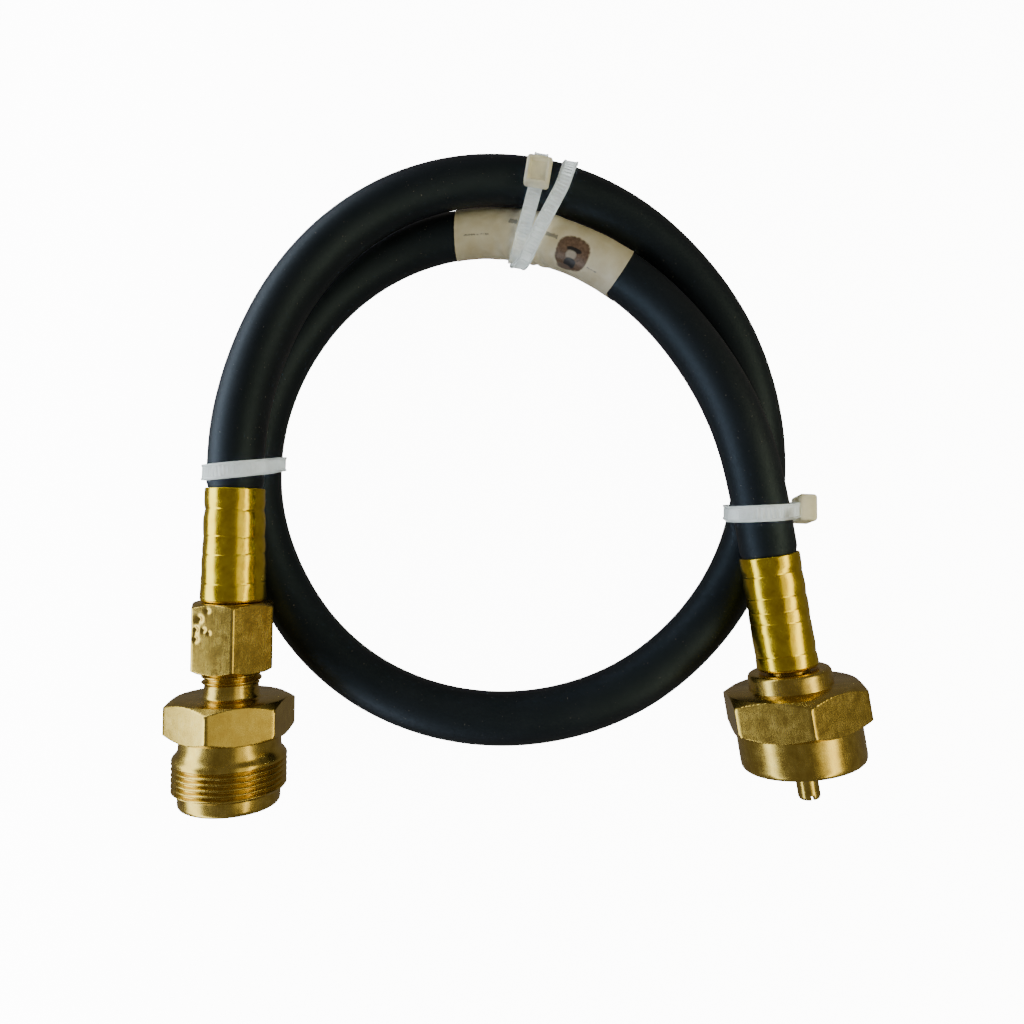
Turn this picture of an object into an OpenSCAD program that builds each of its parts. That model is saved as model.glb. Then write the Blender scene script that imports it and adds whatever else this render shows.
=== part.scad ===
// Short gas extension hose, coiled and tied, with a crimped brass fitting at each end.
// One end has a male cylinder thread on a screwed-in adapter, and the other end has
// a hexagon nut that turns freely on a stem with a projecting nose.
// Millimetres. Z is up from the surface the coil lies on. The fittings point along -Y.
// The male end is on the -X side and the nut is on the +X side.
// In each fitting's own frame +Z runs from the ferrule's mouth to the free end.

/* [Hose] */
// outside diameter of the rubber hose
hose_od = 12.7; // [10:0.1:16]
// bore of the hose, across its corners
hose_bore = 6.4; // [5:0.1:8]
// mean radius of the coil
coil_r = 66; // [50:1:90]
// thickness of the wrapped label
label_t = 0.2; // [0.1:0.05:0.5]

/* [Ferrules] */
// length of the ferrule on the male end
left_ferrule_len = 26; // [20:0.5:34]
// length of the ferrule on the nut end
right_ferrule_len = 25.7; // [20:0.1:34]
// wall of a ferrule at its mouth
ferrule_wall = 0.7; // [0.5:0.05:1.2]
// how far the crimp squeezes the hose, on its radius
crimp_squeeze = 0.4; // [0.2:0.05:0.8]

/* [Male end] */
// width across flats of the coupling hexagon
small_hex_af = 17.5; // [15:0.1:22]
// length of the coupling hexagon
small_hex_len = 15.7; // [12:0.1:20]
// width across flats of the adapter hexagon
adapter_hex_af = 25.4; // [22:0.1:32]
// length of the adapter hexagon
adapter_hex_len = 8.5; // [6:0.1:12]
// outside diameter of the cylinder thread, a 1 in thread with 20 turns to the inch
cyl_thread_od = 25.4; // [22:0.1:32]
// threaded length of the cylinder thread
cyl_thread_len = 7.4; // [6:0.1:12]
// length of the plain pilot past the thread
pilot_len = 3.5; // [2:0.1:6]

/* [Nut end] */
// width across flats of the swivel nut
nut_hex_af = 28.6; // [26:0.1:36]
// length of the nut's hexagon
nut_hex_len = 8.9; // [7:0.1:12]
// length of the round skirt past the hexagon
skirt_len = 8.3; // [6:0.1:12]
// diameter of the nose that projects from the nut
nose_d = 4.9; // [3.5:0.1:6]
// how far the nose stands out of the skirt
nose_out = 8.5; // [5:0.1:12]

/* [Ties] */
// width of a cable tie
tie_w = 3.6; // [2.5:0.1:5]
// thickness of a cable tie
tie_t = 1; // [0.7:0.05:1.5]

/* [Hidden] */
$fn = 96;

// running clearance between the nut and the stem it turns on, on the radius
spin_gap = 0.05;
// clearance between a screw thread and its mate, on the radius
thread_gap = 0.05;
// gap left between two strands that touch
strand_gap = 0.2;
// gap between a tie and the hose it holds, which the label passes through
tie_gap = 0.42;
// a plain band stands further off, because its strands cross it at an angle
plain_gap = 0.55;
hose_r = hose_od / 2;
bore_r = hose_bore / 2;
label_r = hose_r + label_t;
tie_r = label_r + tie_gap;
plain_r = hose_r + plain_gap;
floor_gap = 0.25;
strand_pitch = hose_od + strand_gap;
crimp_r = hose_r - crimp_squeeze;

// ---- joint sizes along a fitting, from its ferrule's mouth ----
lip_t = 2.2;
lip_gap = 0.05;
waist_r = 4.2;
tail_r = bore_r - 0.2;
tail_start = 3;
flow_r = 2;
barb_r = bore_r + 0.4;
barb_count = 4;
barb_pitch = 4.6;
barb_run = 3;

// male end
small_hex_s = left_ferrule_len + 0.2;
pipe_mouth_s = small_hex_s + small_hex_len;
pipe_pitch = 1.41;
pipe_major_r = 6.75;
pipe_depth = 0.75;
pipe_inside = 7 * pipe_pitch;
pipe_exposed = 2.5 * pipe_pitch;
pipe_taper = 1 / 32;
pipe_start_s = pipe_mouth_s - pipe_inside;
pipe_end_s = pipe_mouth_s + pipe_exposed;
pipe_neck_r = 6.1;
pipe_neck_len = 2.7;
adapter_hex_s = pipe_end_s + pipe_neck_len;
relief_s = adapter_hex_s + adapter_hex_len;
pilot_r = cyl_thread_od / 2 - 1.4;
relief_len = 3.7;
relief_cone_len = 1.2;
relief_cone_s = relief_s + relief_len;
cyl_thread_s = relief_cone_s + relief_cone_len;
pilot_s = cyl_thread_s + cyl_thread_len;
male_end_s = pilot_s + pilot_len;
cyl_pitch = 1.27;
cyl_depth = 0.7;
socket_r = nose_d / 2 + 0.15;
socket_len = 12;
seat_r = 4.4;
seat_depth = 3.4;

// nut end
nut_back_s = right_ferrule_len + 0.5;
boss_len = 3.8;
boss_r = 9.2;
nut_hex_s = nut_back_s + boss_len;
skirt_s = nut_hex_s + nut_hex_len;
rim_s = skirt_s + skirt_len;
skirt_r = nut_hex_af / 2 - 0.6;
neck_r = 4.7;
shoulder_s = nut_hex_s + 2.8;
flange_s = shoulder_s + 0.1;
flange_t = 3;
flange_r = 7.5;
cavity_r = 8.6;
nut_thread_s = shoulder_s + 4.5;
nut_major_r = cyl_thread_od / 2 + thread_gap;
nut_pitch = 1.27;
nut_depth = 0.7;
post_r = 4;
post_s = flange_s + flange_t;
seal_t = 2.2;
seal_r = 5.8;
nose_root_s = post_s + seal_t + 2.6;
nose_end_s = rim_s + nose_out;
nose_r = nose_d / 2;
nose_round = 0.8;
nose_slot_w = 0.8;
nose_slot_deep = 1.4;

// ---- where the fittings lie ----
coil_c = [-4.9, 47.7];
// each mouth is this many strands inside the coil's side, and this far along -Y
left_inset = 0.51;
left_along = 11.7;
right_inset = 0.24;
right_along = 27.9;
// how far the fittings tip down, and how far each turns aside, in degrees
droop = 10;
small_hex_turn = 9.6;
adapter_hex_turn = 30.6;
nut_turn = 36.6;
adapter_hex_R = adapter_hex_af / sqrt(3);
nut_hex_R = nut_hex_af / sqrt(3);
left_lean = -1.4;
right_lean = 9;
// lowest reach of each hexagon below its axis, with the turn it is left at
adapter_reach = adapter_hex_R * cos(adapter_hex_turn - 30);
nut_reach = nut_hex_R * cos(nut_turn - 30);
adapter_rest_s = relief_s - 1;
nut_rest_s = skirt_s - 1.4;
// how high the mouth is when a point at radius r and station s touches the floor
function mouth_z(r, s) = r * cos(droop) + s * sin(droop) + 0.02;
left_z = max(mouth_z(adapter_reach, adapter_rest_s), mouth_z(cyl_thread_od / 2, pilot_s));
right_z = max(mouth_z(nut_reach, nut_rest_s), mouth_z(skirt_r, rim_s));
left_mouth = [
  coil_c[0] - coil_r + left_inset * strand_pitch, coil_c[1] - left_along, left_z
];
right_mouth = [
  coil_c[0] + coil_r - right_inset * strand_pitch, coil_c[1] - right_along, right_z
];
function fitting_axis(lean) = [sin(lean) * cos(droop), -cos(lean) * cos(droop), -sin(droop)];
left_axis = fitting_axis(left_lean);
right_axis = fitting_axis(right_lean);

// ---- the hose's route ----
// lowest height of the hose's middle, with room for a tie's band under it
low_z = plain_r + tie_t + floor_gap;
// each row: angle round the coil, then how far outside the coil's mean radius and
// how far above the lowest height, both counted in strands
route_rows = [
  [165, -0.52, 1.35], [150, -0.36, 1.2], [135, -0.14, 1.1], [120, 0.08, 1.02],
  [105, 0.25, 0.95], [90, 0.39, 0.77], [75, 0.5, 0.49], [60, 0.49, 0.21],
  [45, 0.35, 0.03], [30, 0.23, 0], [15, 0.12, 0], [0, 0.08, 0],
  [-15, 0.08, 0], [-30, 0.08, 0], [-45, 0.05, 0], [-60, 0.05, 0],
  [-75, 0, 0], [-90, -0.04, 0], [-105, -0.08, 0], [-120, -0.12, -0.02],
  [-135, -0.18, -0.09], [-150, -0.26, -0.12], [-165, -0.3, -0.04], [-180, -0.36, 0],
  [-195, -0.39, 0], [-210, -0.4, 0], [-225, -0.36, 0], [-240, -0.33, 0],
  [-255, -0.32, 0.01], [-270, -0.37, 0.06], [-285, -0.47, 0.13], [-300, -0.62, 0.23],
  [-315, -0.74, 0.41], [-330, -0.81, 0.65], [-345, -0.76, 0.94], [-360, -0.56, 1.2]
];
// straight run of the hose out of each mouth
lead = 13;
function polar_point(row) = let (r = coil_r + row[1] * strand_pitch) [
  coil_c[0] + r * cos(row[0]), coil_c[1] + r * sin(row[0]), low_z + row[2] * strand_pitch
];
controls = concat(
  [left_mouth + lead * left_axis, left_mouth, left_mouth - lead * left_axis],
  [for (row = route_rows) polar_point(row)],
  [right_mouth - lead * right_axis, right_mouth, right_mouth + lead * right_axis]
);
last_span = len(controls) - 4;
function blend(p, i, t) =
  (pow(1 - t, 3) * p[i] + (3 * t * t * t - 6 * t * t + 4) * p[i + 1]
  + (-3 * t * t * t + 3 * t * t + 3 * t + 1) * p[i + 2] + t * t * t * p[i + 3]) / 6;
// a point of the hose's middle: whole numbers of u are the joins between spans
function route(u) = let (i = min(floor(u), last_span)) blend(controls, i, u - i);
function unit(v) = v / norm(v);
function heading(u) = let (e = 0.02)
  unit(route(min(u + e, last_span + 1)) - route(max(u - e, 0)));
rings_per_span = 2;
ring_us = [for (k = [0 : (last_span + 1) * rings_per_span]) k / rings_per_span];

// ---- swept tubes ----
tube_sides = 12;
// each station is a middle point, a heading, an outside radius and a bore radius
function ring_points(c, t, r) =
  let (s = unit(cross(t, [0, 0, 1])), w = cross(s, t))
  [for (k = [0 : tube_sides - 1]) let (a = 360 * k / tube_sides)
    c + r * (cos(a) * s + sin(a) * w)];
function tube_rings(stations, which) =
  [for (q = stations) each ring_points(q[0], q[1], q[which])];
module swept_tube(stations) {
  m = len(stations);
  n = tube_sides;
  points = concat(tube_rings(stations, 2), tube_rings(stations, 3));
  inner = m * n;
  faces = concat(
    [for (i = [0 : m - 2], k = [0 : n - 1]) let (j = (k + 1) % n)
      [i * n + k, (i + 1) * n + k, (i + 1) * n + j]],
    [for (i = [0 : m - 2], k = [0 : n - 1]) let (j = (k + 1) % n)
      [i * n + k, (i + 1) * n + j, i * n + j]],
    [for (i = [0 : m - 2], k = [0 : n - 1]) let (j = (k + 1) % n)
      [inner + i * n + k, inner + (i + 1) * n + j, inner + (i + 1) * n + k]],
    [for (i = [0 : m - 2], k = [0 : n - 1]) let (j = (k + 1) % n)
      [inner + i * n + k, inner + i * n + j, inner + (i + 1) * n + j]],
    [for (k = [0 : n - 1]) let (j = (k + 1) % n) [k, j, inner + j]],
    [for (k = [0 : n - 1]) let (j = (k + 1) % n) [k, inner + j, inner + k]],
    [for (k = [0 : n - 1]) let (j = (k + 1) % n, e = (m - 1) * n)
      [e + k, inner + e + j, e + j]],
    [for (k = [0 : n - 1]) let (j = (k + 1) % n, e = (m - 1) * n)
      [e + k, inner + e + k, inner + e + j]]
  );
  polyhedron(points = points, faces = faces, convexity = 10);
}

module hose() {
  squeezed = crimp_r - 0.03;
  left_in = left_ferrule_len - lip_t;
  right_in = right_ferrule_len - lip_t;
  ends_left = [
    [left_mouth + left_in * left_axis, -left_axis, squeezed, bore_r],
    [left_mouth + 1 * left_axis, -left_axis, squeezed, bore_r],
    [left_mouth, -left_axis, squeezed + 0.02, bore_r],
    [left_mouth - 1.5 * left_axis, -left_axis, hose_r, bore_r]
  ];
  ends_right = [
    [right_mouth - 1.5 * right_axis, right_axis, hose_r, bore_r],
    [right_mouth, right_axis, squeezed + 0.02, bore_r],
    [right_mouth + 1 * right_axis, right_axis, squeezed, bore_r],
    [right_mouth + right_in * right_axis, right_axis, squeezed, bore_r]
  ];
  between = [for (u = ring_us) if (u > 0.2 && u < last_span + 0.8)
    [route(u), heading(u), hose_r, bore_r]];
  color([0.05, 0.05, 0.06])
    swept_tube(concat(ends_left, between, ends_right));
}

// the label is wrapped round the strand that the top tie pulls in
label_from = 30.35;
label_to = 33.55;
label_gap = 0.03;
label_us = concat(
  [label_from], [for (u = ring_us) if (u > label_from && u < label_to) u], [label_to]
);
// a point on the straight line between the hose's rings, so that the faces lie together
function chord(u) = let (n = rings_per_span, k = floor(u * n) / n, f = (u - k) * n)
  (1 - f) * route(k) + f * route(k + 1 / n);
module hose_label() {
  color([0.9, 0.87, 0.76])
    swept_tube([for (u = label_us) [chord(u), heading(u), label_r, hose_r + label_gap]]);
}

// ---- fittings ----
module at_left() {
  translate(left_mouth) rotate([90 + droop, 0, left_lean]) children();
}
module at_right() {
  translate(right_mouth) rotate([90 + droop, 0, right_lean]) children();
}

// crests and roots of ring threads from s0 to s1, as [radius, height] points, going up
function ring_thread(s0, s1, r, depth, pitch, taper) =
  let (n = floor((s1 - s0) / pitch + 0.01))
  [for (k = [0 : n - 1]) let (s = s0 + k * pitch, c = r + taper * (s - s0))
    each [
      [c - depth, s + 0.05 * pitch],
      [c, s + 0.42 * pitch],
      [c, s + 0.58 * pitch],
      [c - depth, s + 0.95 * pitch]
    ]];

module hex_prism(af, h) {
  cylinder(h = h, r = af / sqrt(3), $fn = 6);
}

// a hexagon whose corners are turned off at both ends
module turned_hex(af, h, edge_lo, edge_hi) {
  corner = af / sqrt(3);
  lo_r = af / 2 - edge_lo;
  hi_r = af / 2 - edge_hi;
  slope = tan(30);
  intersection() {
    hex_prism(af, h);
    rotate_extrude() polygon([
      [0, 0],
      [lo_r, 0],
      [corner + 0.5, (corner + 0.5 - lo_r) * slope],
      [corner + 0.5, h - (corner + 0.5 - hi_r) * slope],
      [hi_r, h],
      [0, h]
    ]);
  }
}

// crimped sleeve: shallow dies leave waists between the barbs
module ferrule(l, grow) {
  mouth_r = crimp_r + ferrule_wall;
  dip = 0.18;
  band = (l - 4) / 4;
  rotate_extrude() polygon(concat(
    [[crimp_r, 0], [mouth_r - 0.15, 0], [mouth_r, 0.2]],
    [for (k = [0 : 3]) let (s = 2 + k * band, r = mouth_r + grow * s / l) each [
      [r - dip * 0.2, s],
      [r - dip, s + 0.18 * band],
      [r - dip * 0.6, s + 0.5 * band],
      [r - dip, s + 0.82 * band]
    ]],
    [[mouth_r + grow - 0.1, l - 2]],
    [[mouth_r + grow - 0.1, l - 0.6], [mouth_r + grow - 0.6, l]],
    [[waist_r + lip_gap, l], [waist_r + lip_gap, l - lip_t], [crimp_r, l - lip_t]]
  ));
}

// barbed tail that the hose is pushed over, up to the ferrule's lip
function tail_outline(l) = concat(
  [[flow_r, tail_start], [tail_r - 0.4, tail_start]],
  [for (k = [0 : barb_count - 1]) let (s = tail_start + 0.6 + k * barb_pitch) each [
    [tail_r, s],
    [barb_r, s + barb_run],
    [barb_r, s + barb_run + 0.3],
    [tail_r, s + barb_run + 0.4]
  ]],
  [[tail_r, l - lip_t - 0.6], [waist_r, l - lip_t]]
);

module left_ferrule() {
  color([0.88, 0.74, 0.22]) at_left() ferrule(left_ferrule_len, 0.7);
}

module left_stem() {
  color([0.72, 0.58, 0.25]) at_left() {
    difference() {
      union() {
        rotate_extrude() polygon(concat(
          tail_outline(left_ferrule_len),
          [[waist_r, small_hex_s + 1], [flow_r, small_hex_s + 1]]
        ));
        translate([0, 0, small_hex_s]) rotate([0, 0, small_hex_turn])
          turned_hex(small_hex_af, small_hex_len, 0.3, 0.4);
      }
      translate([0, 0, small_hex_s - 1]) cylinder(h = 8, r = flow_r);
      rotate_extrude() polygon(concat(
        [[0, pipe_start_s - 1], [5, pipe_start_s - 1], [5, pipe_start_s]],
        ring_thread(pipe_start_s, pipe_mouth_s, pipe_major_r - pipe_inside * pipe_taper
          + thread_gap, pipe_depth, pipe_pitch, pipe_taper),
        [[pipe_major_r - pipe_depth + thread_gap, pipe_mouth_s], [0, pipe_mouth_s + 1]]
      ));
    }
  }
}

module cylinder_adapter() {
  color([0.7, 0.56, 0.22]) at_left() {
    difference() {
      union() {
        rotate_extrude() polygon(concat(
          [[0, pipe_start_s + 0.2], [5.2, pipe_start_s + 0.2]],
          ring_thread(pipe_start_s, pipe_end_s, pipe_major_r - pipe_inside * pipe_taper,
            pipe_depth, pipe_pitch, pipe_taper),
          [[pipe_neck_r, pipe_end_s], [pipe_neck_r, adapter_hex_s + 1]],
          [[0, adapter_hex_s + 1]]
        ));
        translate([0, 0, adapter_hex_s]) rotate([0, 0, adapter_hex_turn])
          turned_hex(adapter_hex_af, adapter_hex_len, 0.2, 0.3);
        rotate_extrude() polygon(concat(
          [[0, relief_s - 1], [pilot_r, relief_s - 1], [pilot_r, relief_cone_s]],
          [[cyl_thread_od / 2, cyl_thread_s]],
          [[cyl_thread_od / 2, cyl_thread_s + 0.5]],
          ring_thread(cyl_thread_s + 0.5, pilot_s, cyl_thread_od / 2, cyl_depth,
            cyl_pitch, 0),
          [[pilot_r, pilot_s - 0.2], [pilot_r, male_end_s - 0.8]],
          [[pilot_r - 0.25, male_end_s - 0.25], [pilot_r - 0.8, male_end_s]],
          [[0, male_end_s]]
        ));
      }
      translate([0, 0, pipe_start_s - 1]) cylinder(h = 60, r = flow_r);
      translate([0, 0, male_end_s - seat_depth - socket_len])
        cylinder(h = socket_len + 1, r = socket_r);
      translate([0, 0, male_end_s - seat_depth]) cylinder(h = seat_depth + 1, r = seat_r);
    }
  }
}

module right_ferrule() {
  color([0.88, 0.74, 0.22]) at_right() ferrule(right_ferrule_len, 0.15);
}

module right_stem() {
  color([0.72, 0.58, 0.25]) at_right() {
    difference() {
      rotate_extrude() polygon(concat(
        tail_outline(right_ferrule_len),
        [[waist_r, right_ferrule_len + 0.1], [neck_r, right_ferrule_len + 0.3]],
        [[neck_r, flange_s], [flange_r, flange_s], [flange_r, post_s]],
        [[post_r, post_s], [post_r, post_s + seal_t + 1]],
        [[nose_r, nose_root_s], [nose_r, nose_end_s - nose_round]],
        [[nose_r - 0.25, nose_end_s - 0.25], [nose_r - nose_round, nose_end_s]],
        [[0.9, nose_end_s], [0.9, post_s + 2], [flow_r, post_s]]
      ));
      translate([0, 0, nose_end_s - nose_slot_deep / 2 + 0.5])
        cube([nose_slot_w, nose_d + 2, nose_slot_deep + 1], center = true);
    }
  }
}

module nose_seal() {
  color([0.08, 0.08, 0.08]) at_right() translate([0, 0, post_s]) difference() {
    cylinder(h = seal_t, r = seal_r);
    translate([0, 0, -1]) cylinder(h = seal_t + 2, r = post_r + 0.02);
  }
}

module swivel_nut() {
  color([0.7, 0.56, 0.22]) at_right() {
    difference() {
      union() {
        rotate_extrude() polygon([
          [0, nut_back_s],
          [boss_r - 1, nut_back_s],
          [boss_r - 0.3, nut_back_s + 0.3],
          [boss_r, nut_back_s + 1],
          [boss_r, nut_hex_s + 1],
          [0, nut_hex_s + 1]
        ]);
        translate([0, 0, nut_hex_s]) rotate([0, 0, nut_turn])
          turned_hex(nut_hex_af, nut_hex_len, 0.2, 0.2);
        rotate_extrude() polygon([
          [0, skirt_s - 1],
          [skirt_r, skirt_s - 1],
          [skirt_r, rim_s - 0.8],
          [skirt_r - 0.25, rim_s - 0.25],
          [skirt_r - 0.8, rim_s],
          [0, rim_s]
        ]);
      }
      translate([0, 0, nut_back_s - 1]) cylinder(h = 10, r = neck_r + spin_gap);
      translate([0, 0, shoulder_s]) cylinder(h = rim_s, r = cavity_r);
      rotate_extrude() polygon(concat(
        [[0, nut_thread_s - 0.6], [nut_major_r - nut_depth, nut_thread_s - 0.6]],
        ring_thread(nut_thread_s, rim_s - 0.9, nut_major_r, nut_depth, nut_pitch, 0),
        [[nut_major_r - nut_depth, rim_s - 0.7], [nut_major_r + 0.1, rim_s]],
        [[nut_major_r + 0.1, rim_s + 1], [0, rim_s + 1]]
      ));
    }
  }
}

// ---- cable ties ----
arc_steps = 14;
function edge_angle(c, i) = let (v = c[(i + 1) % len(c)] - c[i]) atan2(v[1], v[0]);
// outline of a belt round equal circles centred on c, listed counter-clockwise
function belt(c, r) = [
  for (i = [0 : len(c) - 1])
    let (
      e0 = edge_angle(c, (i + len(c) - 1) % len(c)),
      sweep = (edge_angle(c, i) - e0 + 720) % 360
    )
    for (k = [0 : arc_steps]) let (g = e0 - 90 + sweep * k / arc_steps)
      c[i] + r * [cos(g), sin(g)]
];

// a block with rounded corners, along X, Y and Z by its size, centred on the origin
module soft_block(size, r) {
  x = size[0] / 2 - r;
  y = size[1] / 2 - r;
  corners = [[x, y, 0], [-x, y, 90], [-x, -y, 180], [x, -y, 270]];
  translate([0, 0, -size[2] / 2]) linear_extrude(size[2]) polygon([
    for (c = corners, k = [0 : 3]) let (g = c[2] + 30 * k)
      [c[0] + r * cos(g), c[1] + r * sin(g)]
  ]);
}

// a frame whose Z runs along the strands, Y is up, and the origin is between them
function tie_frame(ua, ub) =
  let (
    z = unit(heading(ua) + heading(ub)),
    x = unit(cross([0, 0, 1], z)),
    y = cross(z, x),
    o = (route(ua) + route(ub)) / 2
  ) [
    [x[0], y[0], z[0], o[0]],
    [x[1], y[1], z[1], o[1]],
    [x[2], y[2], z[2], o[2]],
    [0, 0, 0, 1]
  ];
// a point as that frame has it, and its X and Y alone
function to_frame(m, p) =
  let (d = p - [m[0][3], m[1][3], m[2][3]])
  [for (k = [0 : 2]) d[0] * m[0][k] + d[1] * m[1][k] + d[2] * m[2][k]];
function in_frame(m, p) = let (q = to_frame(m, p)) [q[0], q[1]];

head_w = 6.2;
head_l = 6.6;
head_h = 4.4;
// the head sits at angle g round the circle at c, where the band's inside has radius r
module tie_head(c, g, r) {
  translate([c[0], c[1], 0]) rotate([0, 0, g])
    translate([r + 0.05 + head_h / 2, 0, 0]) rotate([0, 90, 0])
      soft_block([head_w, head_l, head_h], 1);
}

// a band that goes once round the circles c, as wide as the tie
module plain_band(c) {
  inside = belt(c, plain_r);
  outside = belt(c, plain_r + tie_t);
  n = len(inside);
  translate([0, 0, -tie_w / 2]) linear_extrude(tie_w) polygon(
    points = concat(outside, inside),
    paths = [[for (k = [0 : n - 1]) k], [for (k = [0 : n - 1]) n + k]]
  );
}

left_tie_over = 0.45;
left_tie_under = 24.75;
module tie_left() {
  m = tie_frame(left_tie_over, left_tie_under);
  over = in_frame(m, route(left_tie_over));
  under = in_frame(m, route(left_tie_under));
  color([0.8, 0.82, 0.8]) multmatrix(m) {
    plain_band([over, under]);
    tie_head(under, -12, plain_r);
  }
}

right_tie_over = 38.16;
right_tie_under = 13.96;
// the head stands this far off the hose, and the band bulges out to it
head_stand_off = 2.4;
module tie_right() {
  m = tie_frame(right_tie_over, right_tie_under);
  over = in_frame(m, route(right_tie_over));
  under = in_frame(m, route(right_tie_under));
  beside = (over + under) / 2 + [head_stand_off, 0];
  color([0.8, 0.82, 0.8]) multmatrix(m) {
    plain_band([over, under, beside]);
    tie_head(beside, 0, plain_r);
  }
}

// the top tie goes round twice: its runs cross on the inner side of the coil
top_tie_outer = 7.6;
top_tie_inner = 31.6;
wrap_layer = tie_t + 0.1;
wrap_steps = 96;
// how far along the strands the band has moved after t turns from the head
wrap_keys = [[0, 0], [0.36, -3.4], [0.5, -1.6], [0.7, 5], [0.86, 8], [1, 6.4],
  [1.36, -3.4], [1.5, -3], [1.7, -0.8], [1.86, 0], [2, 0]];
function smooth(x) = let (c = max(0, min(1, x))) c * c * (3 - 2 * c);
// the second turn lies on the first where the two cross
function wrap_lift(t) = wrap_layer * smooth((t - 1) / 0.13) * (1 - smooth((t - 1.6) / 0.15));
// a point f of the way round a belt, from the top of the circle a over to b and under
function belt_point(a, b, r, f) =
  let (
    d = atan2(b[1] - a[1], b[0] - a[0]),
    gap = norm(b - a),
    half = PI * r,
    all = 2 * (gap + half),
    s = (f - floor(f)) * all,
    out = [cos(d - 90), sin(d - 90)],
    along = [cos(d), sin(d)]
  )
  s < gap ? a + r * out + s * along :
  s < gap + half ? let (g = d - 90 + (s - gap) / half * 180) b + r * [cos(g), sin(g)] :
  s < 2 * gap + half ? b - r * out - (s - gap - half) * along :
  let (g = d + 90 + (s - 2 * gap - half) / half * 180) a + r * [cos(g), sin(g)];
function belt_out(a, b, f) =
  let (q = belt_point(a, b, 1, f), w = belt_point(a, b, 1.01, f)) unit(w - q);

// where a strand's middle is, in the frame m, at a height z along it
function strand_at(m, u, z) =
  let (e = 0.5, p = to_frame(m, route(u - e)), q = to_frame(m, route(u + e)))
  let (v = u + (z - (p[2] + q[2]) / 2) * 2 * e / (q[2] - p[2]))
  in_frame(m, route(v));

module wrapped_band(m, ua, ub) {
  // both ends are inside the head
  t0 = -0.056;
  t1 = 1.93;
  ts = [for (k = [0 : wrap_steps]) t0 + (t1 - t0) * k / wrap_steps];
  hubs = [for (t = ts) let (z = lookup(t, wrap_keys))
    [strand_at(m, ua, z), strand_at(m, ub, z)]];
  outs = [for (k = [0 : wrap_steps]) belt_out(hubs[k][0], hubs[k][1], ts[k])];
  mids = [for (k = [0 : wrap_steps])
    let (q = belt_point(hubs[k][0], hubs[k][1], tie_r + tie_t / 2, ts[k]))
    let (p = q + wrap_lift(ts[k]) * outs[k])
    [p[0], p[1], lookup(ts[k], wrap_keys)]];
  n = len(ts);
  points = [for (k = [0 : n - 1])
    let (
      run = unit(mids[min(k + 1, n - 1)] - mids[max(k - 1, 0)]),
      o = [outs[k][0], outs[k][1], 0],
      side = unit(cross(run, o)),
      top = cross(side, run)
    )
    for (q = [[-1, -1], [1, -1], [1, 1], [-1, 1]])
      mids[k] + q[0] * side * tie_w / 2 + q[1] * top * tie_t / 2];
  faces = concat(
    [for (k = [0 : n - 2], j = [0 : 3]) let (i = (j + 1) % 4)
      [4 * k + j, 4 * k + i, 4 * k + 4 + i]],
    [for (k = [0 : n - 2], j = [0 : 3]) let (i = (j + 1) % 4)
      [4 * k + j, 4 * k + 4 + i, 4 * k + 4 + j]],
    [[3, 2, 1], [3, 1, 0]],
    [[4 * n - 4, 4 * n - 3, 4 * n - 2], [4 * n - 4, 4 * n - 2, 4 * n - 1]]
  );
  polyhedron(points = points, faces = faces, convexity = 10);
}

module tie_top() {
  m = tie_frame(top_tie_outer, top_tie_inner);
  outer = in_frame(m, route(top_tie_outer));
  color([0.8, 0.82, 0.8]) multmatrix(m) {
    wrapped_band(m, top_tie_outer, top_tie_inner);
    tie_head(outer, 88, tie_r);
  }
}

hose();
hose_label();
left_ferrule();
left_stem();
cylinder_adapter();
right_ferrule();
right_stem();
nose_seal();
swivel_nut();
tie_left();
tie_right();
tie_top();
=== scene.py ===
"""A coiled gas hose with a brass fitting at each end, held by three cable ties.

Sizes are in millimetres until the meshes are made, and then in metres.
"""
import math

import bmesh
import bpy
import numpy as np
from mathutils import Matrix, Vector


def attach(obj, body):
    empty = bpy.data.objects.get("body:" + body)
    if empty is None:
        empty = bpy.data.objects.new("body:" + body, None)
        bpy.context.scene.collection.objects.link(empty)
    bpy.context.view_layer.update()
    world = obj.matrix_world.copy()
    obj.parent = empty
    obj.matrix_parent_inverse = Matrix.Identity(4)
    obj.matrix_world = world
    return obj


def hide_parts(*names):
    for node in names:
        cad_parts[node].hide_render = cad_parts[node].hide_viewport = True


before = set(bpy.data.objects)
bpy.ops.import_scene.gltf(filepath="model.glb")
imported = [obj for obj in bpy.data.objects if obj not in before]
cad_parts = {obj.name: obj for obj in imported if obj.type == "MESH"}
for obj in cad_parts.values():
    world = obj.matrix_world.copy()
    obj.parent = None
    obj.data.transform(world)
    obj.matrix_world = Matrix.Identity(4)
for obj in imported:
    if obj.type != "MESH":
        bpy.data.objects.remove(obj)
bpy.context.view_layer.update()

MM = 0.001
TAU = 2 * math.pi


def scene_link(obj):
    bpy.context.scene.collection.objects.link(obj)
    return obj


# ---- camera ----
camera = scene_link(bpy.data.objects.new("camera", bpy.data.cameras.new("camera")))
camera.location = (0.0040, -0.0032, 0.2021)
camera.rotation_euler = [math.radians(a) for a in (10.53, 1.4, -0.25)]
camera.data.lens = 27.8
camera.data.sensor_width = 36
camera.data.clip_start = 0.01
bpy.context.scene.camera = camera


# ---- the hose's route, as the CAD has it ----
HOSE_R = 6.35
PITCH = 12.9
COIL_C = (-4.9, 47.7)
COIL_R = 66
LOW_Z = 8.15
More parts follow.
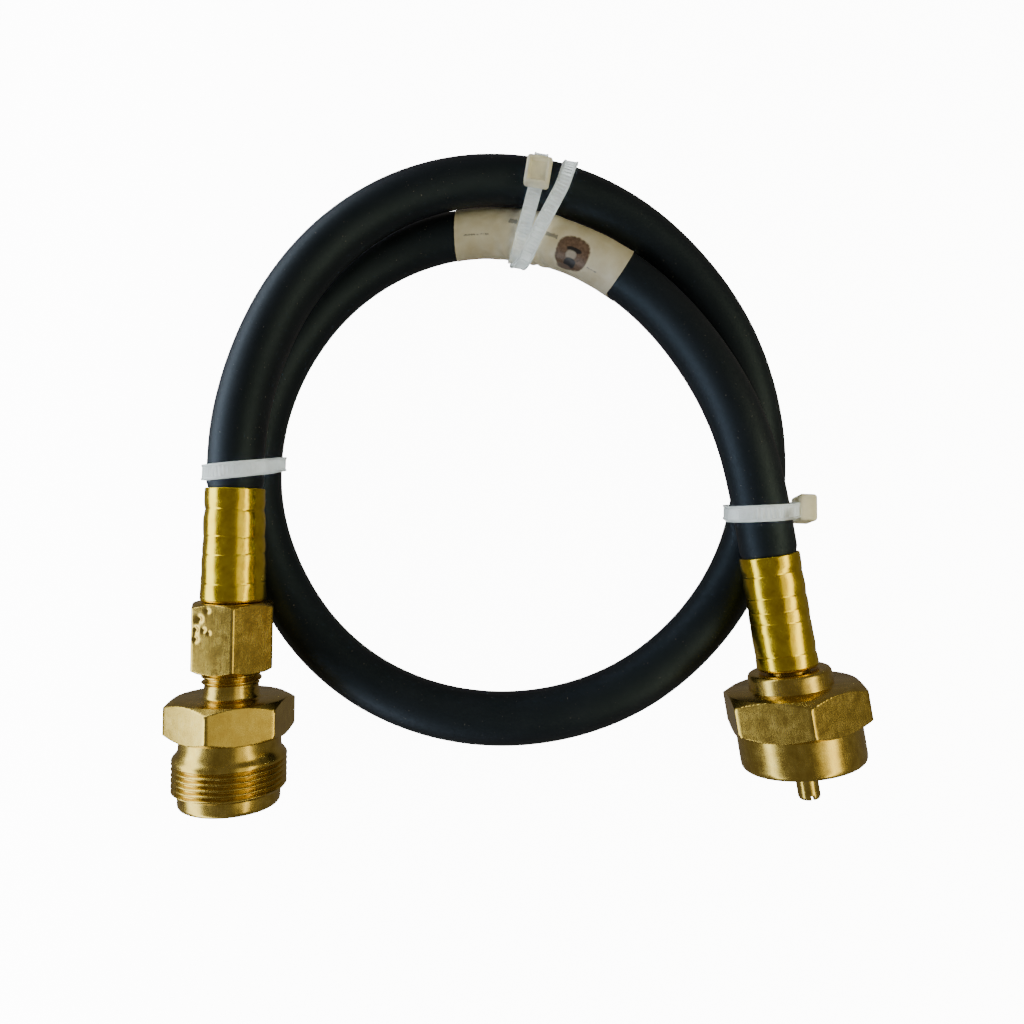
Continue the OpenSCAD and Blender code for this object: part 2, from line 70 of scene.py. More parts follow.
# one row every ROW_STEP degrees, clockwise from FIRST_ROW: how far the strand's middle is
# outside COIL_R and above LOW_Z, both counted in strands
FIRST_ROW, ROW_STEP = 165, 15
ROWS = [
    (-0.52, 1.35), (-0.36, 1.2), (-0.14, 1.1), (0.08, 1.02), (0.25, 0.95), (0.39, 0.77),
    (0.5, 0.49), (0.49, 0.21), (0.35, 0.03), (0.23, 0), (0.12, 0), (0.08, 0),
    (0.08, 0), (0.08, 0), (0.05, 0), (0.05, 0), (0, 0), (-0.04, 0),
    (-0.08, 0), (-0.12, -0.02), (-0.18, -0.09), (-0.26, -0.12), (-0.3, -0.04), (-0.36, 0),
    (-0.39, 0), (-0.4, 0), (-0.36, 0), (-0.33, 0), (-0.32, 0.01), (-0.37, 0.06),
    (-0.47, 0.13), (-0.62, 0.23), (-0.74, 0.41), (-0.81, 0.65), (-0.76, 0.94), (-0.56, 1.2),
]
LEAD = 13
DROOP = math.radians(10)
LEFT_LEAN = math.radians(-1.4)
RIGHT_LEAN = math.radians(9)
LEFT_MOUTH = np.array([-64.321, 36.0, 24.496])
RIGHT_MOUTH = np.array([58.004, 19.8, 22.685])


def fitting_axis(lean):
    level = math.cos(DROOP)
    return np.array([math.sin(lean) * level, -math.cos(lean) * level, -math.sin(DROOP)])


LEFT_AXIS = fitting_axis(LEFT_LEAN)
RIGHT_AXIS = fitting_axis(RIGHT_LEAN)


def polar_point(k, outward, upward):
    a = math.radians(FIRST_ROW - ROW_STEP * k)
    r = COIL_R + outward * PITCH
    x, y = COIL_C[0] + r * math.cos(a), COIL_C[1] + r * math.sin(a)
    return np.array([x, y, LOW_Z + upward * PITCH])


CONTROLS = (
    [LEFT_MOUTH + LEAD * LEFT_AXIS, LEFT_MOUTH, LEFT_MOUTH - LEAD * LEFT_AXIS]
    + [polar_point(k, *row) for k, row in enumerate(ROWS)]
    + [RIGHT_MOUTH - LEAD * RIGHT_AXIS, RIGHT_MOUTH, RIGHT_MOUTH + LEAD * RIGHT_AXIS]
)
LAST = len(CONTROLS) - 4


def unit(v):
    return v / np.linalg.norm(v)


def route(u):
    """a point of the hose's middle, on a cubic B-spline: u counts the spans"""
    i = min(max(int(math.floor(u)), 0), LAST)
    t = u - i
    p = CONTROLS
    return (
        (1 - t) ** 3 * p[i]
        + (3 * t ** 3 - 6 * t * t + 4) * p[i + 1]
        + (-3 * t ** 3 + 3 * t * t + 3 * t + 1) * p[i + 2]
        + t ** 3 * p[i + 3]
    ) / 6


def heading(u):
    return unit(route(min(u + 0.02, LAST + 1)) - route(max(u - 0.02, 0)))


def smooth(x):
    c = max(0.0, min(1.0, x))
    return c * c * (3 - 2 * c)


def smooth_all(x):
    c = np.clip(x, 0, 1)
    return c * c * (3 - 2 * c)


# ---- meshes ----
def make_mesh(name, points, faces, sharp=None, uvs=None, local=None):
    """points are in millimetres; uvs and local have one value a point"""
    mesh = bpy.data.meshes.new(name)
    mesh.from_pydata((np.asarray(points) * MM).tolist(), [], faces)
    mesh.update()
    if uvs is not None:
        layer = mesh.uv_layers.new(name="UVMap")
        loops = np.zeros(len(mesh.loops), dtype=np.int32)
        mesh.loops.foreach_get("vertex_index", loops)
        layer.data.foreach_set("uv", np.asarray(uvs, dtype=np.float32)[loops].ravel())
    if local is not None:
        attribute = mesh.attributes.new("loc", "FLOAT_VECTOR", "POINT")
        attribute.data.foreach_set("vector", np.asarray(local, dtype=np.float32).ravel())
    mesh.polygons.foreach_set("use_smooth", [True] * len(mesh.polygons))
    if sharp is not None:
        mesh.set_sharp_from_angle(angle=math.radians(sharp))
    return scene_link(bpy.data.objects.new(name, mesh))


def grid_faces(rows, columns, flip=False):
    faces = []
    for i in range(rows - 1):
        for k in range(columns):
            j = (k + 1) % columns
            quad = (i * columns + k, i * columns + j, (i + 1) * columns + j, (i + 1) * columns + k)
            faces.append(quad[::-1] if flip else quad)
    return faces


def hash_noise(x, seed):
    return math.sin(x * 12.9898 + seed * 78.233) * 43758.5453 % 1.0


def wave_noise(x, y, seed):
    """a smooth, repeatable wobble from -1 to 1"""
    total = 0.0
    for k in range(5):
        a = TAU * hash_noise(k + 1, seed)
        f = 0.6 + 1.7 * hash_noise(k + 9, seed)
        shift = TAU * hash_noise(k + 17, seed)
        total = total + np.sin(f * (x * math.cos(a) + y * math.sin(a)) + shift)
    return total / 3


def tube(name, stations, sides, radius, slant=None):
    """stations are (middle, heading, along) and radius is a function of (along, angles)"""
    angles = TAU * np.arange(sides) / sides
    points, uvs, local = [], [], []
    for c, t, along in stations:
        s = unit(np.cross(t, (0, 0, 1)))
        w = np.cross(s, t)
        r = radius(along, angles) * np.ones(sides)
        ahead = slant(along, angles) if slant else np.zeros(sides)
        around = np.cos(angles)[:, None] * s + np.sin(angles)[:, None] * w
        points.append(c + r[:, None] * around + ahead[:, None] * t)
        uvs.append(np.stack([np.full(sides, along), angles * HOSE_R], 1))
        local.append(np.stack([np.cos(angles) * r, np.sin(angles) * r, np.full(sides, along)], 1))
    points = np.concatenate(points)
    faces = grid_faces(len(stations), sides)
    n = len(stations)
    faces.append(tuple(range(sides))[::-1])
    faces.append(tuple((n - 1) * sides + k for k in range(sides)))
    return make_mesh(name, points, faces, 40, np.concatenate(uvs), np.concatenate(local))


# ---- node materials ----
class Shader:
    def __init__(self, name):
        self.material = bpy.data.materials.new(name)
        self.material.use_nodes = True
        self.tree = self.material.node_tree
        self.bsdf = self.tree.nodes["Principled BSDF"]

    def node(self, kind, **settings):
        made = self.tree.nodes.new(kind)
        for key, value in settings.items():
            setattr(made, key, value)
        return made

    def link(self, a, b):
        self.tree.links.new(a, b)

    def put(self, socket, value):
        if hasattr(value, "is_linked"):
            self.link(value, socket)
        else:
            socket.default_value = value

    def math(self, op, a, b=0.0):
        made = self.node("ShaderNodeMath", operation=op)
        self.put(made.inputs[0], a)
        self.put(made.inputs[1], b)
        return made.outputs[0]

    def place(self, scale, stretch=(1, 1, 1), attribute="loc"):
        """a scaled place on the piece: in its own frame, or in the object's without attribute"""
        if attribute:
            source = self.node("ShaderNodeAttribute", attribute_name=attribute).outputs["Vector"]
        else:
            source = self.node("ShaderNodeTexCoord").outputs["Object"]
            scale = scale / MM
        mapping = self.node("ShaderNodeMapping")
        mapping.inputs["Scale"].default_value = [scale * k for k in stretch]
        self.link(source, mapping.inputs["Vector"])
        return mapping.outputs["Vector"]

    def noise(self, vector, detail=3, rough=0.5):
        made = self.node("ShaderNodeTexNoise")
        made.inputs["Scale"].default_value = 1
        made.inputs["Detail"].default_value = detail
        made.inputs["Roughness"].default_value = rough
        self.link(vector, made.inputs["Vector"])
        return made.outputs["Fac"]

    def ramp(self, value, stops):
        made = self.node("ShaderNodeValToRGB")
        ramp = made.color_ramp
        while len(ramp.elements) < len(stops):
            ramp.elements.new(0.5)
        for element, (place, color) in zip(ramp.elements, stops):
            element.position = place
            element.color = (*color, 1) if len(color) == 3 else color
        self.link(value, made.inputs["Fac"])
        return made.outputs["Color"]

    def spread(self, value, lo, hi, to_lo, to_hi):
        made = self.node("ShaderNodeMapRange")
        limits = {"From Min": lo, "From Max": hi, "To Min": to_lo, "To Max": to_hi}
        for key, number in limits.items():
            made.inputs[key].default_value = number
        self.link(value, made.inputs["Value"])
        return made.outputs["Result"]

    def mix(self, fac, a, b):
        made = self.node("ShaderNodeMix", data_type="RGBA")
        self.put(made.inputs["Factor"], fac)
        for socket, value in ((made.inputs["A"], a), (made.inputs["B"], b)):
            self.put(socket, (*value, 1) if isinstance(value, tuple) and len(value) == 3 else value)
        return made.outputs["Result"]

    def bump(self, height, distance, strength=1.0, normal=None):
        made = self.node("ShaderNodeBump")
        made.inputs["Distance"].default_value = distance
        made.inputs["Strength"].default_value = strength
        self.link(height, made.inputs["Height"])
        if normal is not None:
            self.link(normal, made.inputs["Normal"])
        return made.outputs["Normal"]

    def set(self, **values):
        for key, value in values.items():
            self.put(self.bsdf.inputs[key.replace("_", " ")], value)


def brass(name, dark, mid, pale, rough, grain, attribute="loc", streak=(1, 1, 1)):
    s = Shader(name)
    blotch = s.noise(s.place(0.42, attribute=attribute), 4, 0.62)
    speck = s.noise(s.place(3.4, attribute=attribute), 2, 0.6)
    lines = s.noise(s.place(2.6, streak, attribute), 3, 0.6)
    tone = s.math("ADD", s.math("MULTIPLY", blotch, 0.78), s.math("MULTIPLY", speck, 0.22))
    s.set(Metallic=1.0)
    s.set(Base_Color=s.ramp(tone, [(0.34, dark), (0.5, mid), (0.66, pale)]))
    s.set(Roughness=s.spread(s.math("ADD", blotch, lines), 0.6, 1.4, rough - 0.06, rough + 0.07))
    first = s.bump(lines, 0.00003 * grain, 0.5)
    s.set(Normal=s.bump(speck, 0.00004 * grain, 0.5, first))
    return s.material


FERRULE_BRASS = brass(
    "ferrule_brass", (0.74, 0.5, 0.02), (0.86, 0.62, 0.03), (0.92, 0.7, 0.06), 0.22, 0.35
)
FITTING_BRASS = brass(
    "fitting_brass", (0.5, 0.34, 0.07), (0.6, 0.43, 0.09), (0.7, 0.52, 0.13), 0.25, 0.12,
    streak=(1, 1, 0.12),
)
PLAIN_BRASS = brass(
    "plain_brass", (0.5, 0.34, 0.07), (0.6, 0.44, 0.1), (0.72, 0.54, 0.14), 0.24, 0.4,
    attribute="",
)


def rubber():
    s = Shader("hose_rubber")
    fine = s.noise(s.place(4.5), 3, 0.65)
    broad = s.noise(s.place(0.3, (1, 1, 0.4)), 3, 0.5)
    dust = s.noise(s.place(2.2, (1, 1, 0.8)), 2, 0.4)
    specks = s.spread(dust, 0.735, 0.765, 0.0, 0.5)
    base = s.ramp(broad, [(0.3, (0.0035, 0.0042, 0.006)), (0.7, (0.007, 0.0082, 0.012))])
    s.set(Base_Color=s.mix(specks, base, (0.22, 0.21, 0.2)))
    s.set(Roughness=s.spread(fine, 0.3, 0.7, 0.44, 0.58))
    s.set(Normal=s.bump(fine, 0.00005, 0.5))
    s.bsdf.inputs["Specular IOR Level"].default_value = 0.5
    # painted sheen colour: the bluish specular tint gives the rubber's sheen the colour of a cool
    # lamp
    s.bsdf.inputs["Specular Tint"].default_value = (0.55, 0.76, 1.0, 1)
    return s.material


HOSE_RUBBER = rubber()


def seal_rubber():
    s = Shader("seal_rubber")
    s.set(Base_Color=(0.012, 0.012, 0.012, 1), Roughness=0.55)
    s.set(Normal=s.bump(s.noise(s.place(3, attribute=""), 3), 0.00004, 0.4))
    return s.material


SEAL_RUBBER = seal_rubber()


def nylon(name, tone, clear):
    s = Shader(name)
    cloud = s.noise(s.place(0.5, attribute=""), 3, 0.5)
    s.set(Base_Color=s.ramp(cloud, [(0.3, tuple(0.86 * k for k in tone)), (0.7, tone)]))
    s.set(Roughness=0.34)
    s.bsdf.inputs["Transmission Weight"].default_value = clear
    s.bsdf.inputs["IOR"].default_value = 1.45
    s.set(Normal=s.bump(s.noise(s.place(1.6, attribute=""), 3), 0.00006, 0.4))
    return s.material


NYLON = nylon("tie_nylon", (0.68, 0.73, 0.74), 0.42)
HEAD_NYLON = nylon("tie_head_nylon", (0.9, 0.87, 0.68), 0.12)


# ---- hose ----
# how far the hose goes into each ferrule, and how much its radius is squeezed there
LEFT_IN, RIGHT_IN = 23.8, 23.5
SQUEEZE = 0.44
# the two places on the route that each tie holds together
LEFT_TIE, RIGHT_TIE, TOP_TIE = (0.45, 24.75), (38.16, 13.96), (7.6, 31.6)


def hose_line():
    line = [(LEFT_MOUTH + d * LEFT_AXIS, -LEFT_AXIS) for d in (LEFT_IN, 12.0, 2.0, 0.6)]
    for u in np.arange(0, LAST + 1.0001, 0.1):
        line.append((route(u), heading(u)))
    line += [(RIGHT_MOUTH + d * RIGHT_AXIS, RIGHT_AXIS) for d in (0.6, 2.0, 12.0, RIGHT_IN)]
    along, out = 0.0, []
    for k, (c, t) in enumerate(line):
        along += np.linalg.norm(c - line[k - 1][0]) if k else 0
        out.append((c, t, along))
    return out


LINE = hose_line()
HOSE_LEN = LINE[-1][2]


def hose_radius(along, angles):
    past_left = smooth_all((along - LEFT_IN + 0.2) / 1.6)
    before_right = smooth_all((HOSE_LEN - RIGHT_IN + 0.2 - along) / 1.6)
    inside = 1 - past_left * before_right
    swell = 0.03 * math.exp(-((along - LEFT_IN - 3) / 1.5) ** 2)
    return HOSE_R - SQUEEZE * inside + swell + 0.012 * wave_noise(along * 0.5, angles * 2, 3)


def settle(obj, node, body="base"):
    """obj stands for the CAD node, which it hides, and rides on the body"""
    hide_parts(node)
    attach(obj, body)


hose = tube("hose_tube", LINE, 36, hose_radius)
hose.data.materials.append(HOSE_RUBBER)
settle(hose, "hose")


# ---- label ----
# along, level, half length, half height, softness: the brown patch where the label has a picture
PATCH = (33.8, 5.7, 4.9, 4.4, 0.12)
# the same, and a colour. These follow the label's printed picture too closely: with an empty
# list the patch is plain. The pale grey one is a painted glint on that picture, not print
PATCH_SHAPES = [
    (34.0, 6.9, 2.2, 0.6, 0.4, (0.012, 0.01, 0.01)),
    # painted glint: a pale grey spot for the shine in the patch's middle
    (33.6, 5.5, 1.5, 1.1, 0.5, (0.42, 0.38, 0.34)),
    (34.0, 3.3, 1.8, 1.5, 0.3, (0.012, 0.012, 0.018)),
    (32.6, 1.7, 2.2, 0.9, 0.5, (0.16, 0.12, 0.1)),
]
# along, half length, level, half thickness: plain dashes in the places of the words
DASHES = [
    (15.6, 1.1, 9.9, 0.5), (26.6, 1.7, 8.4, 0.45), (6.0, 3.4, 6.6, 0.12), (41.0, 1.6, 4.4, 0.12),
]
PAPER_DARK, PAPER_PALE = (0.64, 0.58, 0.42), (0.78, 0.74, 0.6)
DASH_INK = (0.03, 0.035, 0.06)


def paper():
    s = Shader("label_paper")
    uv = s.node("ShaderNodeSeparateXYZ")
    s.link(s.node("ShaderNodeTexCoord").outputs["UV"], uv.inputs[0])
    x, y = uv.outputs[0], uv.outputs[1]
    fibre = s.noise(s.place(1.5), 4, 0.6)
    stain = s.noise(s.place(0.22), 3, 0.5)
    wobble = s.math("MULTIPLY", s.math("SUBTRACT", fibre, 0.5), 0.9)

    def span(value, middle, half, soft):
        far = s.math("ABSOLUTE", s.math("SUBTRACT", value, middle))
        return s.spread(s.math("ADD", far, wobble), half - soft, half + soft, 1.0, 0.0)

    def round_patch(middle, level, half_x, half_y, soft):
        dx = s.math("DIVIDE", s.math("ABSOLUTE", s.math("SUBTRACT", x, middle)), half_x)
        dy = s.math("DIVIDE", s.math("ABSOLUTE", s.math("SUBTRACT", y, level)), half_y)
        far = s.math("ADD", s.math("POWER", dx, 2.5), s.math("POWER", dy, 2.5))
        ragged = s.math("ADD", far, s.math("MULTIPLY", wobble, 0.5))
        return s.spread(ragged, 1 - soft, 1 + soft, 1.0, 0.0)

    brown = s.ramp(fibre, [(0.35, (0.1, 0.06, 0.04)), (0.7, (0.2, 0.13, 0.09))])
    color = s.ramp(stain, [(0.3, PAPER_DARK), (0.7, PAPER_PALE)])
    color = s.mix(round_patch(*PATCH), color, brown)
    for *shape, tone in PATCH_SHAPES:
        color = s.mix(round_patch(*shape), color, tone)
    for middle, half, level, thick in DASHES:
        dash = s.math("MULTIPLY", span(x, middle, half, 0.15), span(y, level, thick, 0.12))
        color = s.mix(s.math("MULTIPLY", dash, 0.6), color, DASH_INK)
    s.set(Base_Color=color)
    s.set(Roughness=0.38)
    s.set(Normal=s.bump(fibre, 0.00008, 0.5))
    return s.material


LABEL_FROM, LABEL_TO = 30.37, 33.52


def label_station_list():
    out, along, last = [], 0.0, None
    for u in np.linspace(LABEL_FROM, LABEL_TO, 150):
        c = route(u)
        along += np.linalg.norm(c - last) if last is not None else 0
        last = c
        out.append((c, heading(u), along))
    return out


LABEL_LINE = label_station_list()
LABEL_LEN = LABEL_LINE[-1][2]
TIE_AT = LABEL_LEN * (TOP_TIE[1] - LABEL_FROM) / (LABEL_TO - LABEL_FROM)


def label_radius(along, angles):
    near = math.exp(-((along - TIE_AT) / 7.0) ** 2)
    under = math.exp(-((along - TIE_AT) / 2.2) ** 2)
    across = along * 0.9 + 2.2 * np.sin(angles * 2)
    folds = 0.5 + 0.5 * wave_noise(across, angles * 2.4 * np.cos(along * 0.05), 11)
    creases = np.abs(wave_noise(along * 0.42, angles * 1.7, 5))
    lip = 0.1 * math.exp(-along / 0.8) + 0.1 * math.exp(-(LABEL_LEN - along) / 0.8)
    seam = 0.12 * smooth_all((np.cos(angles + 1.2) - 0.9) / 0.02)
    seam = seam + 0.5 * np.exp(-(((angles - 2.95) / 0.3) ** 2)) * (1 - smooth((along - 17) / 5))
    gather = 0.75 * near * folds * (1 - 0.7 * under)
    return HOSE_R + 0.07 + gather + 0.08 * creases + lip * 0.6 + seam


def label_slant(along, angles):
    """how far the paper's ends run on past a square cut"""
    part = along / LABEL_LEN
    first = 0.1 - 1.0 * np.cos(angles)
    last = 3.15 - 1.35 * np.cos(angles) - 2.65 * np.abs(np.sin(angles))
    return first * (1 - part) ** 3 - last * part ** 3


label = tube("label_wrap", LABEL_LINE, 72, label_radius, label_slant)
label.data.materials.append(paper())
settle(label, "hose_label")


# ---- turned fittings ----
def fitting_frame(mouth, lean):
    place = Matrix.Translation(Vector([float(k) for k in mouth]))
    return place @ Matrix.Rotation(lean, 4, "Z") @ Matrix.Rotation(math.pi / 2 + DROOP, 4, "X")


LEFT_FRAME = fitting_frame(LEFT_MOUTH, LEFT_LEAN)
RIGHT_FRAME = fitting_frame(RIGHT_MOUTH, RIGHT_LEAN)


def lathe(name, place, rows, start=-90.0, n=240, sharp=34, dent=None):
    """rows are (station, radius), and a radius is a number or a function of the angles"""
    th = math.radians(start) + TAU * np.arange(n) / n
    points = []
    for s, r in rows:
        value = (r(th) if callable(r) else r) * np.ones(n)
        points.append(np.stack([value * np.cos(th), value * np.sin(th), s * np.ones(n)], 1))
    local = np.concatenate(points)
    if dent is not None:
        local = dent(local)
    m = np.array(place)
    world = local @ m[:3, :3].T + m[:3, 3]
    faces = grid_faces(len(rows), n)
    faces.append(tuple(range(n))[::-1])
    faces.append(tuple((len(rows) - 1) * n + k for k in range(n)))
    return make_mesh(name, world, faces, sharp, local[:, :2], local)


def hex_radius(af, turn, cap):
    """a hexagon's radius by angle, its corners cut back by cap"""
    def radius(th):
        phi = (np.degrees(th) - turn) % 60 - 30
        return np.minimum(af / 2 / np.cos(np.radians(phi)), af / math.sqrt(3) - cap)
    return radius


CHAMFER_SLOPE = 1.732


def hex_rows(s0, s1, af, turn, inner_lo, inner_hi, edge, cap, steps=12):
    """a turned hexagon with its corners chamfered at both ends"""
    flat = hex_radius(af, turn, cap)
    lo_r = af / 2 - edge

    def limited(level):
        return lambda th: np.minimum(flat(th), level)

    reach = af / math.sqrt(3) - lo_r
    ups = [0, 0.06, 0.16] + list(np.linspace(0.3, 1.04 * reach, 9))
    rows = [(s0, inner_lo)]
    rows += [(s0 + d / CHAMFER_SLOPE, limited(lo_r + d)) for d in ups]
    a, b = s0 + ups[-1] / CHAMFER_SLOPE, s1 - ups[-1] / CHAMFER_SLOPE
    rows += [(s, flat) for s in np.linspace(a, b, steps)[1:-1]]
    rows += [(s1 - d / CHAMFER_SLOPE, limited(lo_r + d)) for d in ups[::-1]]
    rows.append((s1, inner_hi))
    return rows


ROWS_PER_PITCH = 9
THREAD_SHARPNESS = 1.25


def helix_rows(s0, s1, r, depth, pitch, taper=0.0, fade=1.0, root=0.0):
    """a right-handed thread, cut depth deep into radius r; past its ends root=1 leaves the root"""
    rows = []
    count = int((s1 - s0) / pitch * ROWS_PER_PITCH)
    for s in np.linspace(s0, s1, count + 1):
        def radius(th, s=s):
            phase = (s - s0) / pitch - th / TAU
            wave = (0.5 - 0.5 * np.cos(TAU * phase)) ** THREAD_SHARPNESS
            ends = smooth((s - s0 + 0.05) / fade) * smooth((s1 - s + 0.05) / fade)
            return r + taper * (s - s0) - depth * (wave * ends + root * (1 - ends))
        rows.append((s, radius))
    return rows


def finish_piece(obj, material, node, body="base"):
    obj.data.materials.append(material)
    settle(obj, node, body)


# ferrules
def ferrule(name, place, length, grow, creases, seed):
    mouth = 6.65

    def outer(s):
        def radius(th):
            r = mouth + grow * s / length
            die = smooth((s - 2.5) / 1.5) * smooth((length - 2.4 - s) / 1.5)
            r = r + die * (0.03 * np.cos(8 * th + seed) - 0.03)
            r = r + 0.07 * die * wave_noise(s * 0.8, 3 * np.cos(th + seed), seed)
            for at, depth, width in creases:
                wave = at + 0.2 * np.sin(2 * th + seed + at)
                line = 0.75 * np.exp(-(((s - wave) / width) ** 2))
                r = r - depth * (line + np.exp(-(((s - at) / 1.3) ** 2)))
            return np.minimum(r, mouth + grow * s / length + 0.02)
        return radius

    rows = [(length - 2.2, 5.95), (0.25, 5.95), (0.0, 6.1), (0.0, 6.42), (0.08, 6.55)]
    rows += [(s, outer(s)) for s in np.linspace(0.25, length - 0.7, 240)]
    end = mouth + grow - 0.1
    rows += [(length - 0.45, end - 0.02), (length - 0.2, end - 0.12)]
    rows += [(length - 0.05, end - 0.3), (length, end - 0.55)]
    rows += [(length, 4.25), (length - 2.2, 4.25)]
    return lathe(name, place, rows)


# each crease of the crimp is (station, depth, width)
LEFT_CREASES = [(5.0, 0.13, 0.16), (11.2, 0.13, 0.16), (15.2, 0.13, 0.16), (21.8, 0.12, 0.2)]
RIGHT_CREASES = [
    (4.3, 0.13, 0.16), (9.4, 0.12, 0.16), (12.3, 0.09, 0.16), (15.1, 0.12, 0.16), (22.4, 0.12, 0.2),
]
left_sleeve = ferrule("left_ferrule_sleeve", LEFT_FRAME, 26.0, 0.7, LEFT_CREASES, 1.7)
finish_piece(left_sleeve, FERRULE_BRASS, "left_ferrule")
right_sleeve = ferrule("right_ferrule_sleeve", RIGHT_FRAME, 25.7, 0.15, RIGHT_CREASES, 4.1)
finish_piece(right_sleeve, FERRULE_BRASS, "right_ferrule")

# coupling of the male end, from its barbed tail in the hose
BARBS, BARB_PITCH = 4, 4.6
TAIL = [(3, 2.0), (3, 2.6)]
for k in range(BARBS):
    ahead = BARB_PITCH * k
    TAIL += [(3.6 + ahead, 3.0), (6.6 + ahead, 3.6), (6.9 + ahead, 3.6), (7.0 + ahead, 3.0)]
TAIL += [(23.2, 3.0), (23.8, 4.2), (26.15, 4.2)]

COUPLING_AF, COUPLING_TURN = 17.5, 9.6
# knocks on one face of the hexagon: (angle, station, depth, width), and that face's own angle
DENTED_FACE = 99.6
DENTS = [
    (120, 29.4, 0.6, 0.75), (125.5, 31.8, 0.7, 0.8), (125, 33.9, 0.6, 0.65),
    (113, 31.8, 0.4, 0.5), (107, 27.5, 0.35, 0.5), (104, 32.4, 0.25, 0.4),
]


def coupling_dents(local):
    out = local.copy()
    for angle, s, depth, width in DENTS:
        a = math.radians(angle)
        reach = COUPLING_AF / 2 / math.cos(math.radians(angle - DENTED_FACE))
        middle = np.array([reach * math.cos(a), reach * math.sin(a), s])
        d = np.linalg.norm(local - middle, axis=1)
        push = depth * np.exp(-((d / width) ** 2))
        radial = local.copy()
        radial[:, 2] = 0
        length = np.maximum(np.linalg.norm(radial, axis=1), 1e-6)
        out -= radial / length[:, None] * push[:, None]
    return out


coupling_rows = TAIL + hex_rows(
    26.2, 41.9, COUPLING_AF, COUPLING_TURN, 4.25, 7.1, edge=0.3, cap=0.09, steps=70
)
coupling_rows += [(41.5, 6.5), (36.5, 5.9), (32.0, 5.6), (31.0, 2.0)]
coupling = lathe(
    "left_coupling", LEFT_FRAME, coupling_rows, start=COUPLING_TURN - 120, dent=coupling_dents
)
finish_piece(coupling, FITTING_BRASS, "left_stem")

# adapter of the male end: pipe thread, hexagon, relief, cylinder thread, pilot and socket
ADAPTER_AF, ADAPTER_TURN = 25.4, 30.6
PIPE_PITCH, CYLINDER_PITCH = 1.41, 1.27
adapter_rows = [(32.4, 2.0), (32.4, 5.2)]
adapter_rows += helix_rows(
    32.6, 45.4, 6.35, 0.75, PIPE_PITCH, taper=1 / 32, fade=1.2, root=1.0
)
adapter_rows += [
    (45.7, 6.08), (46.4, 6.1), (47.2, 6.15), (47.7, 6.3), (47.95, 6.6), (48.1, 7.1),
]
adapter_rows += hex_rows(
    48.125, 56.625, ADAPTER_AF, ADAPTER_TURN, 7.6, 11.5, edge=0.2, cap=0.09
)
adapter_rows += [
    (56.75, 11.32), (57.2, 11.3), (58.4, 11.3), (59.4, 11.35),
    (60.1, 11.6), (60.7, 12.1), (61.2, 12.52), (61.55, 12.68),
]
adapter_rows += helix_rows(61.7, 68.9, 12.7, 0.72, CYLINDER_PITCH, fade=0.6, root=0.0)[1:-3]
adapter_rows += [
    (68.75, 12.2), (68.95, 11.5), (69.15, 11.31), (69.6, 11.3), (71.4, 11.3),
    (71.9, 11.22), (72.2, 11.02), (72.36, 10.75), (72.425, 10.4),
]
adapter_rows += [
    (72.425, 4.7), (72.1, 4.4), (69.1, 4.4), (69.02, 2.9), (68.8, 2.6),
    (57.1, 2.6), (57.0, 2.0), (48.0, 2.0),
]
adapter = lathe("left_adapter", LEFT_FRAME, adapter_rows, start=ADAPTER_TURN - 120)
finish_piece(adapter, FITTING_BRASS, "cylinder_adapter")

# nut: boss, hexagon and skirt outside, then its thread and bore inside
NUT_AF, NUT_TURN = 28.6, 36.6
nut_rows = [
    (29.0, 4.75), (26.3, 4.75), (26.2, 4.95), (26.2, 7.9), (26.28, 8.5),
    (26.5, 8.9), (26.9, 9.12), (27.4, 9.2), (29.6, 9.2), (29.9, 9.3),
]
nut_rows += hex_rows(30.0, 38.9, NUT_AF, NUT_TURN, 9.5, 13.9, edge=0.15, cap=0.1)
nut_rows += [
    (39.0, 13.72), (39.3, 13.7), (45.8, 13.7), (46.5, 13.64), (46.9, 13.46),
    (47.13, 13.2), (47.2, 12.9), (47.2, 12.76), (46.6, 12.3), (46.3, 12.1),
]
nut_rows += helix_rows(37.3, 46.2, 12.75, 0.65, CYLINDER_PITCH, fade=0.8, root=1.0)[::-1]
nut_rows += [
    (37.0, 12.05), (36.7, 12.05), (36.7, 8.6), (32.8, 8.6), (32.8, 4.75), (31.0, 4.75),
]
nut = lathe("hex_nut", RIGHT_FRAME, nut_rows, start=NUT_TURN - 120)
finish_piece(nut, FITTING_BRASS, "swivel_nut", "nut")

# these two stay as the CAD has them, in a better material
for node, material in (("right_stem", PLAIN_BRASS), ("nose_seal", SEAL_RUBBER)):
    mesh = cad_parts[node].data
    mesh.materials.clear()
    mesh.materials.append(material)


# ---- cable ties ----
TIE_W, TIE_T = 3.6, 1.0
TOOTH, TOOTH_H = 0.9, 0.38
BAND_R = HOSE_R + 0.12
HEAD_SIZE = (6.4, 7.0, 4.2)
HEAD_ROUND, SLOT_RIM, SLOT_DEPTH = 0.8, 0.75, 1.0
# across the strip, in half widths and thicknesses: place, height, and whether it is toothed
BAND_SECTION = [
    (-1.0, 0.08, False), (-0.92, 0.0, False), (0.92, 0.0, False), (1.0, 0.08, False),
    (1.0, 0.9, False), (0.93, 1.0, False), (0.74, 1.0, False), (0.68, 0.58, True),
    (-0.68, 0.58, True), (-0.74, 1.0, False), (-0.93, 1.0, False), (-1.0, 0.9, False),
]


def tie_frame(ua, ub):
    z = unit(heading(ua) + heading(ub))
    x = unit(np.cross((0, 0, 1), z))
    y = np.cross(z, x)
    return np.stack([x, y, z], 1), (route(ua) + route(ub)) / 2


def in_frame(m, p):
    return (p - m[1]) @ m[0]


